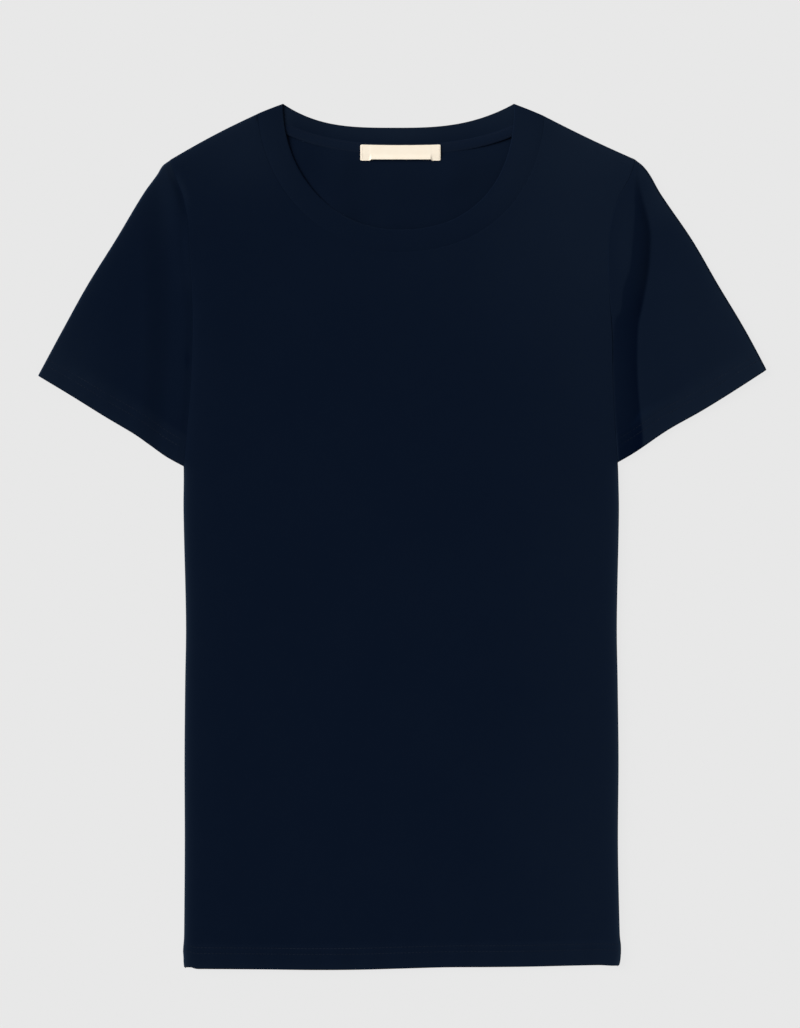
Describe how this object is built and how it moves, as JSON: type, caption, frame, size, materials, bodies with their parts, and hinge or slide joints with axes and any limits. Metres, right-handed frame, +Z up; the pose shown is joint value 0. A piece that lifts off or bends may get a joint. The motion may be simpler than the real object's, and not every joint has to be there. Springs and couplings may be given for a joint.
{
  "type": "crew neck t-shirt",
  "caption": "Short-sleeved crew neck T-shirt in dark navy jersey, lying flat with its front up, with a rib neckband, turned-up hems and a plain woven neck label",
  "frame": {"origin": "on the surface the garment lies on, under the middle of its outline", "axes": "+Y runs up the garment from the hem to the neck, +X across it to the right as seen from above, +Z up out of the surface"},
  "size_m": [0.5886, 0.7004, 0.0049],
  "materials": {
    "jersey": "dark navy cotton jersey, matt with a faint nap",
    "rib": "dark navy fine rib, folded double",
    "tape": "navy self-cloth tape",
    "label": "cream woven satin label"
  },
  "bodies": {
    "root": {"front": "jersey", "back": "jersey", "sleeve_left": "jersey", "sleeve_right": "jersey", "neckband": "rib", "neck_tape": "tape", "label": "label"}
  },
  "joints": []
}
